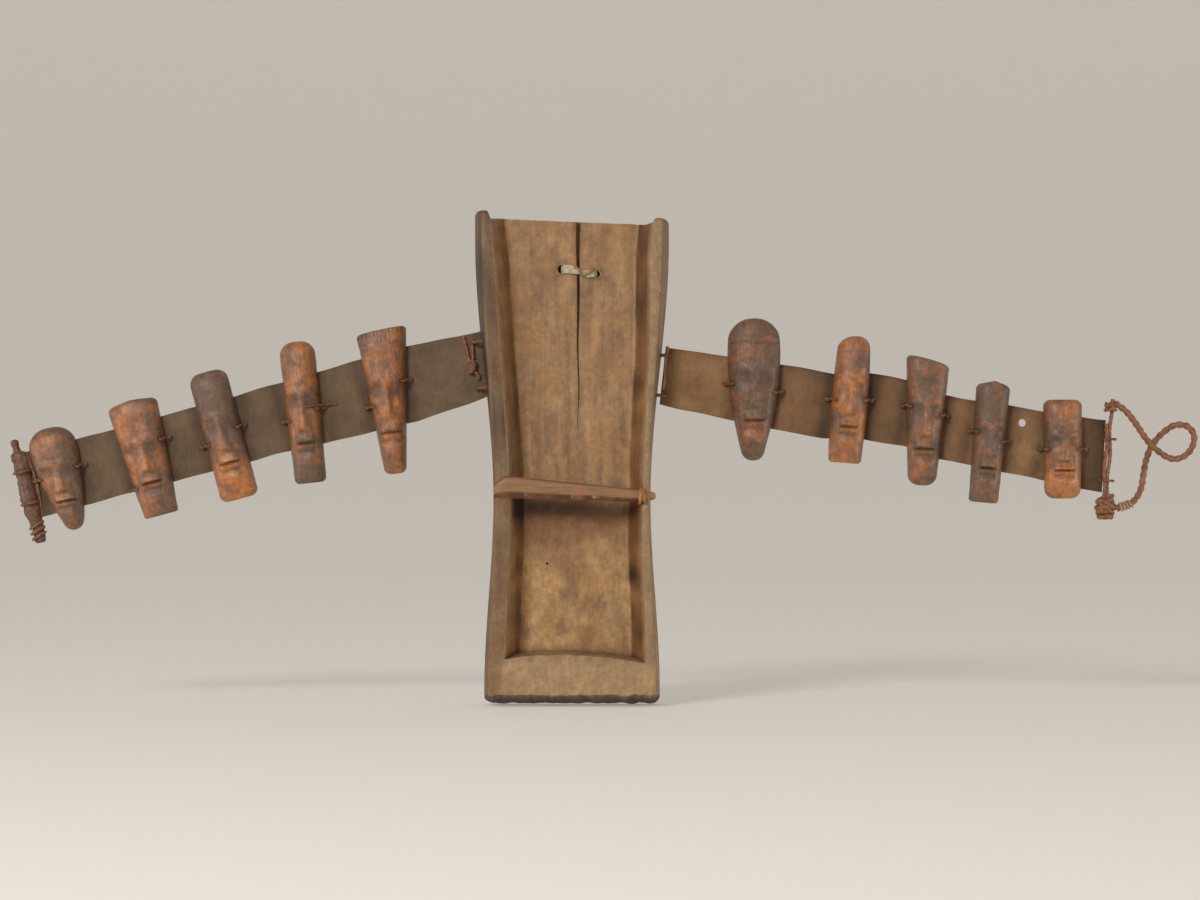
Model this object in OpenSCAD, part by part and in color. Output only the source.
// Blade holder worn on a belt: a carved wooden trough with a cross bar, and two hide belts that carry
// carved head plaques and close with a cord loop over a toggle. Millimetres, upright as worn.

/* [Holder] */
// Height of the carved block
holder_h = 320; // [290:1:390]
// Width of the back near the top
holder_top_w = 126; // [118:1:152]
// Width of the back at the waist
holder_waist_w = 102; // [92:1:112]
// Width of the back near the foot
holder_foot_w = 114; // [106:1:138]
// Depth from the back to the front of the rims
holder_depth = 38; // [31:1:46]
// Thickness of the channel floor
floor_t = 11; // [9:0.5:14]
// Width of the left rim's front face
left_rim_w = 8; // [6:0.5:10]
// Width of the right rim's front face
right_rim_w = 5.5; // [4.5:0.5:7]
// How far the channel walls lean in from rim to floor
wall_run = 8.5; // [6:0.5:11]
// Height of the closed lip at the foot
lip_h = 22; // [18:1:28]
// How far the ears stand above the back panel
ear_h = 5; // [4:0.5:7]
// Width of the drying crack at the top edge
crack_w = 2.6; // [1.6:0.2:3.4]

/* [Cross bar] */
// Width of the bar at its broad left end
bar_broad_w = 15; // [12:0.5:18]
// Width of the bar at its narrow right end
bar_narrow_w = 9; // [7.5:0.5:11]
// Thickness of the bar
bar_t = 4; // [3:0.5:5]
// Depth of the seats that the bar lies in
bar_seat = 1.5; // [1:0.25:2]
// Thickness of the cane that lashes the bar
cane_d = 2.6; // [2:0.2:3.2]

/* [Belts] */
// Width of the hide strips
strap_w = 43; // [36:1:52]
// Thickness of the hide
strap_t = 3; // [2.5:0.1:3.6]
// Length of the left belt from its root
left_belt_l = 302; // [299:1:306]
// Length of the right belt from its root
right_belt_l = 293; // [288:1:298]
// How far the left belt falls from level, in degrees
left_slope = 15; // [12:0.5:18]
// How far the right belt falls from level, in degrees
right_slope = 10.4; // [8:0.2:13]
// Diameter of the spare hole in the right belt
belt_hole_d = 5; // [4:0.5:6]

/* [Plaques] */
// Thickness of a plaque at its crown
plaque_t = 13.5; // [11:0.5:16.5]
// Thickness of a plaque at its edges
plaque_edge_t = 4.5; // [4:0.25:5.5]

/* [Cords] */
// Thickness of the plaque ties
tie_d = 2; // [1.6:0.1:2.4]
// Thickness of the root lacing
lacing_d = 2.2; // [1.8:0.1:2.6]
// Thickness of the closing cord
closing_cord_d = 4.2; // [3.4:0.2:4.4]

/* [Toggle] */
// Length of the toggle stick
toggle_l = 69; // [60:1:82]
// Thickness of the toggle stick at its foot
toggle_d = 6.8; // [5.6:0.2:7.2]
// Thickness of the cord wound on the toggle
whipping_d = 1.9; // [1.6:0.1:2.2]

/* [Hidden] */
$fn = 48;
// Clearance round cords and pegs in their holes, and at the bends of the belts
fit = 0.3;
// How far a cutter runs past the face it cuts
past = 1;
// Gap between the turns of a winding
turn_gap = 0.8;
coil_rings = 24;
cord_sides = 6;

// Levels in front of the back face
strap_z = 6;
strap_front = strap_z + strap_t / 2;
root_z = 8;
plaque_mid = strap_z + plaque_edge_t / 2;
bar_z = holder_depth - bar_seat;

// Outline of the holder's back, with the origin halfway up
holder_foot = -holder_h / 2;
holder_head = holder_h / 2;
waist_h = 132;
head_straight = 20;
foot_straight = 10;
waist_y = holder_foot + waist_h;
flare_head = holder_head - head_straight;
flare_foot = holder_foot + foot_straight;
flank_least = 1;
flank_flare = 4;
foot_bevel = 7;
ear_round = 4;
side_steps = 14;

function ease(t) = let (c = max(0, min(1, t))) c * c * (3 - 2 * c);
function mix(a, b, t) = a + (b - a) * t;
function head_flare(y) = ease((y - waist_y) / (flare_head - waist_y));
function foot_flare(y) = ease((waist_y - y) / (waist_y - flare_foot));
function half_w(y) = holder_waist_w / 2
    + (holder_top_w - holder_waist_w) / 2 * head_flare(y)
    + (holder_foot_w - holder_waist_w) / 2 * foot_flare(y);
// How far the front edge stands in from the back edge
function flank(y) = flank_least + flank_flare * (head_flare(y) + foot_flare(y) / 2);
function front_half_w(y) = half_w(y) - flank(y);
// Half width of the flank at a level z in front of the back
function flank_x(y, z) = half_w(y) - flank(y) * z / holder_depth;

// The hide's edges are rounded a little less than its faces are apart, so that no face ends in a line
edge_slack = 0.05;
edge_round = strap_t / 2 - edge_slack;
bend_inset = 0.1;

// Belts: index 0 is the left one and 1 the right one
side_sign = [-1, 1];
slope = [left_slope, right_slope];
root_y = [60, 53];
belt_hole_s = 236.5;
belt_hole_n = 12;
root_gap = 2.4;
root_span = 30;
root_ring_r = 5.5;
root_ring_at = [[-15, 15], [-13, 13]];
// Distance along each belt of its bend lines
bends = [[0, 93, 148, 200, 254, left_belt_l], [0, 98, 151, 195, 242, right_belt_l]];
// Share of the strip's width at places along each belt
widths = [
    [[0, 0.98], [50, 1.15], [93, 1.08], [148, 1.02], [200, 1], [left_belt_l, 1]],
    [[0, 0.86], [70, 0.98], [151, 1], [195, 0.96], [242, 1.02], [right_belt_l, 1.08]]
];
// Turn of each belt's outer end from upright
end_turn = [14, -3];

function root_at(b) = [side_sign[b] * (flank_x(root_y[b], root_z) + root_gap / 2), root_y[b]];
function root_turn(b) = -side_sign[b]
    * atan((half_w(root_y[b] + root_span / 2) - half_w(root_y[b] - root_span / 2)) / root_span);
function along(b) = [side_sign[b] * cos(slope[b]), -sin(slope[b])];
function across(b) = [side_sign[b] * sin(slope[b]), cos(slope[b])];
function on_belt(b, s, n) = root_at(b) + along(b) * s + across(b) * n;
function upright_dir(turn) = [-sin(turn), cos(turn)];
function belt_turn(b) = -side_sign[b] * slope[b];
function station_turn(b, i) = i == 0 ? root_turn(b)
    : i == len(widths[b]) - 1 ? end_turn[b] : belt_turn(b);
// The root end stands clear of the lacing's axis by half the gap and the round of the hide's edge
function station_s(b, i) = i == 0 ? root_gap / 2 + edge_round : widths[b][i][0];
function station(b, i, half) = on_belt(b, station_s(b, i), 0)
    + upright_dir(station_turn(b, i)) * half * widths[b][i][1] * strap_w / 2;

// Plaques: distance along the belt, offset across it, turn from upright, length, width at the top and
// at the foot, corner radius at the top and at the foot, peak, height of the left and the right tie
plaques = [
    [
        [65, -7, 6, 95, 33, 14, 3, 4, 0, -3, 12],
        [120, 0, 6, 92, 23, 20, 9, 3, 0, -5, 2],
        [174, -1, 15, 85, 25, 25, 7, 5, 0, -4, 3],
        [226, -2, 15, 77, 33, 22, 4, 3, 2, -18, 9],
        [284, -1, 12, 68, 32, 17, 13, 6, 0, 2, 6]
    ],
    [
        [62, 2, 1, 92, 35, 14, 14, 6, 0, 4, -2],
        [124, 7, -4, 83, 24, 22, 9, 3, 0, -1, 0],
        [174, 2, -3, 84, 28, 18, 3, 7, 0, 9, 4],
        [217, -4, -5, 79, 22, 19, 3, 3, 4, 6, 1],
        [265, 0, 0, 64, 25, 23, 6, 6, 0, 0, 0]
    ]
];
tie_ring_r = 5;
// How far inside the hide's lower edge a tie stays
tie_margin = 1.5;
peak_r = 1;
profile_slack = 0.02;

function plaque_at(p, b) = on_belt(b, p[0], p[1]);
function plaque_half_w(p, v) = mix(p[5], p[4], (v + p[3] / 2) / p[3]) / 2;
// Height of a plaque's tie at its left (9) or right (10) edge
function tie_y(p, side) = max(p[side], tie_margin - strap_w / 2 - p[1]);

// Face features of a plaque as shares of its length and width
eye_v = 0.08;
eye_u = 0.23;
eye_r = 0.09;
nose_top_v = 0.14;
nose_foot_v = -0.12;
nose_w = 0.24;
mouth_v = -0.24;
mouth_w = 0.36;
mouth_h = 2.4;
feature_rise = 1;
face_w_most = 26;
eye_front = 0.7;
nose_back = 0.5;
mouth_front = 0.8;

// Cross bar over the waist of the holder
bar_left_y = -18.5;
bar_right_y = -25;
bar_left_x = -front_half_w(bar_left_y);
bar_inset = 1.5;
bar_right_x = front_half_w(bar_right_y) - bar_inset;
lashing_inset = 3;
lashing_x = bar_right_x - lashing_inset;
lashing_r = 7;
lashing_z = bar_z + bar_t + fit + cane_d / 2 - lashing_r;
peg_r = 1.4;
peg_head_r = 2.3;
peg_head_t = 2.2;
peg_l = 7;
peg_drop = 1.5;
peg_z = lashing_z - peg_drop;

// Crack and the stitch across it
crack_x = 4;
crack_foot_y = 24;
stitch_ends = [[-6.5, 121.5], [16, 118.5]];
stitch_r = 1;

// Toggle, beyond the left belt's end
toggle_gap = 4;
toggle_n = -3;
toggle_top_share = 0.76;
toggle_ring_r = 6.2;
toggle_ring_at = [-8, 13];
whipping_turns = 5;
whipping_inset = 0.5;

// Cord along the right belt's end, which the closing cord hangs on
pin_d = 3;
pin_gap = 2.2;
pin_l = 81;
pin_n = -0.5;
loop_ring_r = 4.4;
loop_ring_at = [-15, 12];
top_knot_d = 3;
top_knot_n = 33;
top_knot_turns = 2;
foot_knot_d = 3.6;
foot_knot_n = -32.5;
foot_knot_turns = 3;

// Route of the closing cord, from the top knot round to the foot knot, measured from the middle of the
// cord along the belt's end
closing_points = [
    [7.4, 33.3, 0], [12.4, 29.3, 0.5], [18.4, 21.3, 1.5], [24.4, 12.3, 2.5], [31.4, 4.8, 3.5], [40.4, -0.7, 3],
    [48.4, 0.3, 2], [54.4, 6.3, 1], [55.9, 14.3, 0], [51.4, 20.3, -1], [43.4, 20.8, -2], [35.9, 15.8, -3],
    [29.4, 8.3, -3], [25.4, -0.7, -2.5], [23.4, -10.7, -1.5], [21.4, -20.7, -0.5], [16.9, -28.2, 0], [10.4, -31.7, 0],
    [4.1, -32.4, 0]
];
closing_from = on_belt(1, right_belt_l + pin_gap, 0);
closing_route = [for (p = closing_points) [closing_from[0] + p[0], closing_from[1] + p[1], strap_z + p[2]]];

// A cord as one tube: rings of points carried along a route without twisting
function unit(v) = v / norm(v);
function turned(v, t) = unit(v - (v * t) * t);
function tangents(p, closed) = let (n = len(p)) [for (i = [0 : n - 1])
    unit(closed ? p[(i + 1) % n] - p[(i + n - 1) % n] : p[min(i + 1, n - 1)] - p[max(i - 1, 0)])];
function sideways(t) = turned(abs(t[2]) < 0.7 ? [0, 0, 1] : [1, 0, 0], t);
function carried(t) = [for (i = 0, u = sideways(t[0]); i < len(t);
    i = i + 1, u = i < len(t) ? turned(u, t[i]) : u) u];
function ring_points(p, r, sides, closed) = let (t = tangents(p, closed), u = carried(t))
    [for (i = [0 : len(p) - 1], j = [0 : sides - 1])
        p[i] + r * (cos(360 * j / sides) * u[i] + sin(360 * j / sides) * cross(t[i], u[i]))];
function ring_faces(n, sides, closed) = [
    for (i = [0 : n - (closed ? 1 : 2)], j = [0 : sides - 1], h = [0, 1])
    let (a = i * sides, b = (i + 1) % n * sides, k = (j + 1) % sides)
        h == 0 ? [a + j, b + j, b + k] : [a + j, b + k, a + k]];
function end_faces(n, sides) = [for (j = [1 : sides - 2], h = [0, 1])
    let (a = (n - 1) * sides) h == 0 ? [0, j, j + 1] : [a, a + j + 1, a + j]];
module tube(p, r, sides = cord_sides, closed = false) {
    polyhedron(ring_points(p, r, sides, closed),
        concat(ring_faces(len(p), sides, closed), closed ? [] : end_faces(len(p), sides)));
}

// Least gap of a winding to itself, measured between points half a turn or more apart
function least_gap(p, r) = min([for (i = [0 : len(p) - 1], j = [i + coil_rings / 2 : len(p) - 1])
    norm(p[i] - p[j]) - 2 * r]);
// Turns of a winding about the upright axis, with straight ends one tube diameter long
function winding(turns, radius, cord_d) = let (pitch = cord_d + turn_gap, last = turns * coil_rings)
    concat(
        [[radius, -cord_d, -pitch * turns / 2]],
        [for (i = [0 : last]) let (a = 360 * i / coil_rings)
            [radius * cos(a), radius * sin(a), pitch * (i / coil_rings - turns / 2)]],
        [[radius, cord_d, pitch * turns / 2]]);

// Modelled lying on its back, then stood upright with its back at y = 0
module upright() rotate([90, 0, 0]) children();
// A ring of cord standing on edge
module cord_ring(radius, d) {
    rotate([90, 0, 0])
        rotate_extrude()
            translate([radius, 0])
                circle(d / 2);
}
module at_root(b) translate(root_at(b)) rotate(root_turn(b)) children();
module at_end(b, s, n) {
    translate(on_belt(b, s, n))
        rotate(end_turn[b])
            translate([0, 0, strap_z])
                children();
}
module at_plaque(p, b) translate(plaque_at(p, b)) rotate(p[2]) children();

// Closed solid between two rings of as many points: up the right side, down the left side, then along
// the foot. A cap is cut in strips between the sides, and in two fans over the foot's arch.
function cap_faces(n, foot) = let (
    edge = [for (i = [2 * n - 1 : 2 * n + foot]) i % (2 * n + foot)],
    middle = floor(len(edge) / 2)
) concat(
    [for (i = [1 : n - 2]) [i, i + 1, 2 * n - 2 - i]],
    [for (i = [1 : n - 2]) [i, 2 * n - 2 - i, 2 * n - 1 - i]],
    [for (i = [0 : len(edge) - 2]) [i < middle ? 2 * n - 2 : 1, edge[i], edge[i + 1]]],
    [[2 * n - 2, edge[middle], 1]]);
function flipped(faces) = [for (f = faces) [f[2], f[1], f[0]]];
module loft(low, high, foot) {
    n = len(low);
    cap = cap_faces((n - foot) / 2, foot);
    polyhedron(concat(low, high), concat(
        cap,
        flipped([for (f = cap) [f[0] + n, f[1] + n, f[2] + n]]),
        [for (i = [0 : n - 1]) [i, n + i, (i + 1) % n]],
        [for (i = [0 : n - 1]) [(i + 1) % n, n + i, n + (i + 1) % n]]));
}

// Outline of the block at the back (front = 0) or at the front (front = 1)
function block_rows(front) = let (foot = holder_foot + foot_bevel * front) concat(
    [for (i = [0 : side_steps]) [mix(foot, holder_head - ear_round, i / side_steps), 0]],
    [[holder_head - ear_round / 3, ear_round / 3], [holder_head, ear_round]]);
function block_ring(front) = let (
    rows = block_rows(front),
    z = holder_depth * front,
    half = [for (r = rows) half_w(r[0]) - flank(r[0]) * front - r[1]],
    n = len(rows)
) concat(
    [for (i = [0 : n - 1]) [half[i], rows[i][0], z]],
    [for (i = [0 : n - 1]) [-half[n - 1 - i], rows[n - 1 - i][0], z]]);

// Outline of the channel: rise is 0 at the floor and 1 at the front of the rims, and the cutter runs past
rim_rise = 1.05;
lip_scoop = 8;
lip_arch = 4;
lip_points = 5;
function channel_x(y, rim, rise) = front_half_w(y) - rim - wall_run * (1 - rise);
function channel_ring(rise) = let (
    foot = holder_foot + foot_bevel + lip_h + lip_scoop * (1 - rise),
    rows = [for (i = [0 : side_steps]) mix(foot, holder_head + 2 * past, i / side_steps)],
    z = mix(floor_t, holder_depth, rise),
    right = channel_x(foot, right_rim_w, rise),
    left = -channel_x(foot, left_rim_w, rise)
) concat(
    [for (y = rows) [channel_x(y, right_rim_w, rise), y, z]],
    [for (i = [side_steps : -1 : 0]) [-channel_x(rows[i], left_rim_w, rise), rows[i], z]],
    [for (i = [1 : lip_points]) let (t = i / (lip_points + 1))
        [mix(left, right, t), foot + lip_arch * 4 * t * (1 - t), z]]);

// Hollow of the back panel's top edge between the ears
panel_sag = 2.5;
module panel_top_cut() {
    half = channel_x(holder_head - ear_h, left_rim_w, 0.5);
    radius = half * half / (2 * panel_sag);
    translate([0, 0, -past])
        linear_extrude(holder_depth + 2 * past)
            intersection() {
                translate([0, holder_head - ear_h + radius])
                    circle(radius, $fn = 360);
                translate([-half, holder_head - 2 * ear_h - panel_sag])
                    square([2 * half, 4 * ear_h]);
            }
}
module crack() {
    translate([0, 0, -past])
        linear_extrude(holder_depth)
            polygon([[crack_x - crack_w / 2, holder_head], [crack_x, crack_foot_y],
                [crack_x + crack_w / 2, holder_head]]);
}
stitch_span = norm(stitch_ends[1] - stitch_ends[0]);
stitch_turn = atan2(stitch_ends[1][1] - stitch_ends[0][1], stitch_ends[1][0] - stitch_ends[0][0]);
stitch_hole_r = stitch_r + fit;
stitch_back = stitch_hole_r;
module at_stitch() translate(stitch_ends[0]) rotate(stitch_turn) children();
module stitch_cut() at_stitch() {
    for (x = [0, stitch_span])
        translate([x, 0, -past])
            cylinder(r = stitch_hole_r, h = floor_t + 2 * past);
    translate([0, -stitch_hole_r, -past])
        cube([stitch_span, 2 * stitch_hole_r, past + 2 * stitch_hole_r]);
}
module bar_shape(grow) {
    polygon([[bar_left_x - grow, bar_left_y - bar_broad_w / 2 - grow],
        [bar_right_x + grow, bar_right_y - bar_narrow_w / 2 - grow],
        [bar_right_x + grow, bar_right_y + bar_narrow_w / 2 + grow],
        [bar_left_x - grow, bar_left_y + bar_broad_w / 2 + grow]]);
}
module at_lashing() {
    translate([lashing_x, bar_right_y, lashing_z])
        rotate(90)
            children();
}
module at_peg() {
    translate([flank_x(bar_right_y, peg_z), bar_right_y, peg_z])
        rotate([0, 90, 0])
            children();
}

module holder() color("#927053") upright() {
    difference() {
        loft(block_ring(0), block_ring(1), 0);
        loft(channel_ring(0), channel_ring(rim_rise), lip_points);
        panel_top_cut();
        crack();
        stitch_cut();
        translate([0, 0, bar_z])
            linear_extrude(bar_t)
                bar_shape(fit / 2);
        at_lashing()
            cord_ring(lashing_r, cane_d + 2 * fit);
        at_peg()
            translate([0, 0, -peg_l - fit])
                cylinder(r = peg_r + fit / 2, h = peg_l + 2 * past);
        for (b = [0, 1], y = root_ring_at[b])
            at_root(b)
                translate([0, y, root_z])
                    cord_ring(root_ring_r, lacing_d + 2 * fit);
    }
}
module cross_bar() color("#90683f") upright() {
    difference() {
        translate([0, 0, bar_z])
            linear_extrude(bar_t)
                bar_shape(0);
        at_lashing()
            cord_ring(lashing_r, cane_d + 2 * fit);
    }
}
module bar_lashing() color("#b0683a") upright() at_lashing() cord_ring(lashing_r, cane_d);
module bar_peg() color("#a07a4c") upright() at_peg() {
    translate([0, 0, -peg_l])
        cylinder(r = peg_r, h = peg_l + fit);
    translate([0, 0, fit])
        cylinder(r = peg_head_r, h = peg_head_t);
}

// Rounded oblong of the stitch, up one hole and down the other
stitch_bend = stitch_r + fit / 2;
stitch_front = floor_t + stitch_bend + fit / 2;
corner_steps = 3;
function stitch_corner(x, z, start) = [for (i = [0 : corner_steps])
    let (a = start + 90 * i / corner_steps)
        [x + stitch_bend * cos(a), 0, z + stitch_bend * sin(a)]];
function stitch_run(z, from, to) = [for (t = [1 / 3, 2 / 3]) [mix(from, to, t), 0, z]];
stitch_route = concat(
    stitch_corner(stitch_span - stitch_bend, stitch_front - stitch_bend, 0),
    stitch_run(stitch_front, stitch_span, 0),
    stitch_corner(stitch_bend, stitch_front - stitch_bend, 90),
    stitch_corner(stitch_bend, stitch_back + stitch_bend, 180),
    stitch_run(stitch_back, 0, stitch_span),
    stitch_corner(stitch_span - stitch_bend, stitch_back + stitch_bend, 270));
module crack_stitch() color("#b0a888") upright() at_stitch() tube(stitch_route, stitch_r, closed = true);

// Belt outlines, cut into panels that bend on a rounded edge in a hollowed one
module belt_shape(b) {
    last = len(widths[b]) - 1;
    polygon(concat([for (i = [0 : last]) station(b, i, 1)], [for (i = [last : -1 : 0]) station(b, i, -1)]));
}
module panel_band(b, k) {
    start = k == 1 ? -strap_w : bends[b][k - 1];
    stop = k == 5 ? bends[b][5] + strap_w : bends[b][k];
    polygon([for (c = [[start, -1], [stop, -1], [stop, 1], [start, 1]]) on_belt(b, c[0], c[1] * strap_w)]);
}
module bend_bar(b, s, half, r, turn) {
    translate([on_belt(b, s, 0)[0], on_belt(b, s, 0)[1], strap_z])
        rotate(turn)
            rotate([90, 0, 0])
                cylinder(r = r, h = 2 * half, center = true);
}
function half_at(b, s) = lookup(s, widths[b]) * strap_w / 2;
module strap(b, k) color(b == 0 ? "#6e5c48" : "#7a6147") upright() {
    root_s = k == 1 ? station_s(b, 0) : bends[b][k - 1];
    root_angle = k == 1 ? root_turn(b) : belt_turn(b);
    p = plaques[b][k - 1];
    difference() {
        union() {
            translate([0, 0, strap_z - strap_t / 2])
                linear_extrude(strap_t)
                    intersection() {
                        belt_shape(b);
                        panel_band(b, k);
                    }
            bend_bar(b, root_s, half_at(b, k == 1 ? 0 : root_s) - bend_inset, edge_round, root_angle);
        }
        if (k < 5)
            bend_bar(b, bends[b][k], strap_w, edge_round + fit, belt_turn(b));
        at_plaque(p, b)
            plaque_ties(p, tie_d + 2 * fit);
        if (k == 1)
            for (y = root_ring_at[b])
                at_root(b)
                    translate([0, y, root_z])
                        cord_ring(root_ring_r, lacing_d + 2 * fit);
        if (k == 5 && b == 0)
            toggle_ring_set(whipping_d + 2 * fit);
        if (k == 5 && b == 1)
            loop_ring_set(tie_d + 2 * fit);
        if (k == 4 && b == 1)
            translate([on_belt(b, belt_hole_s, belt_hole_n)[0], on_belt(b, belt_hole_s, belt_hole_n)[1], 0])
                cylinder(d = belt_hole_d, h = strap_front + past);
    }
}

// Plaques: a tapered outline, a side profile and a crowned front, cut as a carver would
module plaque_outline(p) {
    top = p[3] / 2;
    hull() {
        for (x = [-1, 1]) {
            translate([x * (p[4] / 2 - p[6]), top - p[6] - p[8]])
                circle(p[6], $fn = 32);
            translate([x * (p[5] / 2 - p[7]), p[7] - top])
                circle(p[7], $fn = 32);
        }
        translate([0, top - peak_r])
            circle(peak_r, $fn = 32);
    }
}
// Side profile as shares of the length and of the thickness: chin, mouth, brow and crown
profile = [[-0.5, 0], [-0.5, 0.5], [-0.42, 0.72], [-0.18, 0.8], [-0.1, 0.72], [0.1, 0.76], [0.16, 0.96],
    [0.3, 0.94], [0.46, 0.7], [0.5, 0.5], [0.5, 0]];
module plaque_block(p) {
    half = max(p[4], p[5]) / 2;
    rise = plaque_t - plaque_edge_t;
    crown_r = (half * half + rise * rise) / (2 * rise);
    intersection() {
        linear_extrude(plaque_t)
            plaque_outline(p);
        rotate([90, 0, 90])
            linear_extrude(2 * (half + past), center = true)
                polygon([for (q = profile) [q[0] * (p[3] + profile_slack), q[1] * plaque_t]]);
        translate([0, 0, plaque_t - crown_r])
            rotate([90, 0, 0])
                cylinder(r = crown_r, h = p[3] + 2 * past, center = true);
    }
}
module plaque_features(p) {
    w = min(p[4], face_w_most);
    for (x = [-1, 1])
        translate([x * eye_u * w, eye_v * p[3], 0])
            cylinder(r = eye_r * w, h = eye_front * plaque_t + feature_rise);
    translate([0, nose_top_v * p[3], 0])
        rotate([90, 0, 0])
            linear_extrude((nose_top_v - nose_foot_v) * p[3])
                polygon([[-nose_w * w / 2, nose_back * plaque_t], [nose_w * w / 2, nose_back * plaque_t],
                    [0, plaque_t]]);
}
module plaque_mouth(p) {
    w = min(p[4], face_w_most) * mouth_w;
    translate([-w / 2, mouth_v * p[3] - mouth_h / 2, mouth_front * plaque_t - feature_rise])
        cube([w, mouth_h, plaque_t]);
}
module plaque_ties(p, d) {
    for (x = [-1, 1]) {
        y = tie_y(p, x < 0 ? 9 : 10);
        translate([x * plaque_half_w(p, y), y, plaque_mid])
            cord_ring(tie_ring_r, d);
    }
}
module plaque(b, k) color("#8a5a3c") upright() at_plaque(plaques[b][k - 1], b) {
    p = plaques[b][k - 1];
    difference() {
        translate([0, 0, strap_front]) {
            plaque_block(p);
            plaque_features(p);
        }
        translate([0, 0, strap_front])
            plaque_mouth(p);
        plaque_ties(p, tie_d + 2 * fit);
    }
}
module ties(b, k) color("#a0623e") upright() {
    p = plaques[b][k - 1];
    at_plaque(p, b)
        plaque_ties(p, tie_d);
}

// Lacing at the belts' roots
module root_rings(b) color("#a0623e") upright() {
    for (y = root_ring_at[b])
        at_root(b)
            translate([0, y, root_z])
                cord_ring(root_ring_r, lacing_d);
}
root_knot_r = 2.6;
root_knot_turns = 2;
root_knot_pitch = lacing_d + turn_gap;
root_cord_z = strap_front + fit + lacing_d / 2;
root_cord_x = -8.6;
root_cord_top = 17;
root_cord_foot = 2;
root_cord_step = 3;
root_knot_y = -0.5;
root_cord_route = concat(
    [for (y = [root_cord_top : -root_cord_step : root_cord_foot])
        [root_cord_x, y, root_cord_z]],
    [for (i = [0 : root_knot_turns * coil_rings]) let (a = 180 + 360 * i / coil_rings)
        [root_cord_x + root_knot_r + root_knot_r * cos(a), root_knot_y + root_knot_r * sin(a),
            root_cord_z + root_knot_pitch * i / coil_rings]],
    [[root_cord_x, root_knot_y - lacing_d, root_cord_z + root_knot_pitch * root_knot_turns]]);
module left_root_cord() color("#a0623e") upright() at_root(0) tube(root_cord_route, lacing_d / 2);
root_stick_r = 1;
root_stick_l = 28;
root_stick_x = 2.6;
root_stick_y = 5;
module right_root_stick() color("#b08a5a") upright() at_root(1) {
    translate([root_stick_x, root_stick_y, strap_front + root_stick_r + fit / 2])
        rotate([90, 0, 0])
            cylinder(r = root_stick_r, h = root_stick_l, center = true);
}

// Toggle
module at_toggle() at_end(0, left_belt_l + toggle_gap, toggle_n) children();
module toggle_ring_set(d) at_toggle() {
    for (y = toggle_ring_at)
        translate([0, y, 0])
            cord_ring(toggle_ring_r, d);
}
module toggle_stick() color("#7d5a3a") upright() at_toggle() {
    rotate([-90, 0, 0])
        translate([0, 0, -toggle_l / 2])
            cylinder(d1 = toggle_d, d2 = toggle_d * toggle_top_share, h = toggle_l);
}
whipping_route = winding(whipping_turns, toggle_d / 2 + fit / 2 + whipping_d / 2, whipping_d);
whipping_l = whipping_turns * (whipping_d + turn_gap) + whipping_d;
module toggle_whipping() color("#a0623e") upright() at_toggle() {
    translate([0, whipping_l / 2 - toggle_l / 2 + whipping_inset, 0])
        rotate([-90, 0, 0])
            tube(whipping_route, whipping_d / 2);
}
module toggle_rings() color("#a0623e") upright() toggle_ring_set(whipping_d);
toggle_cord_inset = 3;
toggle_cord_l = toggle_ring_at[1] - toggle_ring_at[0] - whipping_d - 2 * fit;
module toggle_cord() color("#a0623e") upright() at_toggle() {
    translate([toggle_gap + toggle_cord_inset, (toggle_ring_at[0] + toggle_ring_at[1]) / 2,
        strap_t / 2 + whipping_d / 2 + fit / 2])
        rotate([90, 0, 0])
            cylinder(d = whipping_d, h = toggle_cord_l, center = true);
}

// Closing loop on the cord along the right belt's end
module at_pin() at_end(1, right_belt_l + pin_gap, 0) children();
module loop_ring_set(d) at_pin() {
    for (y = loop_ring_at)
        translate([0, y, 0])
            cord_ring(loop_ring_r, d);
}
module loop_pin() color("#7d4e30") upright() at_pin() {
    translate([0, pin_n, 0])
        rotate([90, 0, 0])
            cylinder(d = pin_d, h = pin_l, center = true);
}
module loop_rings() color("#a0623e") upright() loop_ring_set(tie_d);
top_knot_route = winding(top_knot_turns, pin_d / 2 + fit + top_knot_d / 2, top_knot_d);
foot_knot_route = winding(foot_knot_turns, pin_d / 2 + fit + foot_knot_d / 2, foot_knot_d);
module knot(route, n, d) at_pin() translate([0, n, 0]) rotate([-90, 0, 0]) tube(route, d / 2);
module top_knot() color("#7d4e30") upright() knot(top_knot_route, top_knot_n, top_knot_d);
module foot_knot() color("#7d4e30") upright() knot(foot_knot_route, foot_knot_n, foot_knot_d);
module closing_cord() color("#7d4e30") upright() tube(closing_route, closing_cord_d / 2, 8);

echo(whipping_gap = least_gap(whipping_route, whipping_d / 2));
echo(root_knot_gap = least_gap(root_cord_route, lacing_d / 2));
echo(top_knot_gap = least_gap(top_knot_route, top_knot_d / 2));
echo(foot_knot_gap = least_gap(foot_knot_route, foot_knot_d / 2));

sides = ["left", "right"];
rows = [1, 2, 3, 4, 5];

holder();
cross_bar();
bar_lashing();
bar_peg();
crack_stitch();
for (b = [0, 1], k = rows) {
    strap(b, k);
    plaque(b, k);
    ties(b, k);
}
for (b = [0, 1])
    root_rings(b);
left_root_cord();
right_root_stick();
toggle_stick();
toggle_whipping();
toggle_rings();
toggle_cord();
loop_pin();
loop_rings();
top_knot();
foot_knot();
closing_cord();
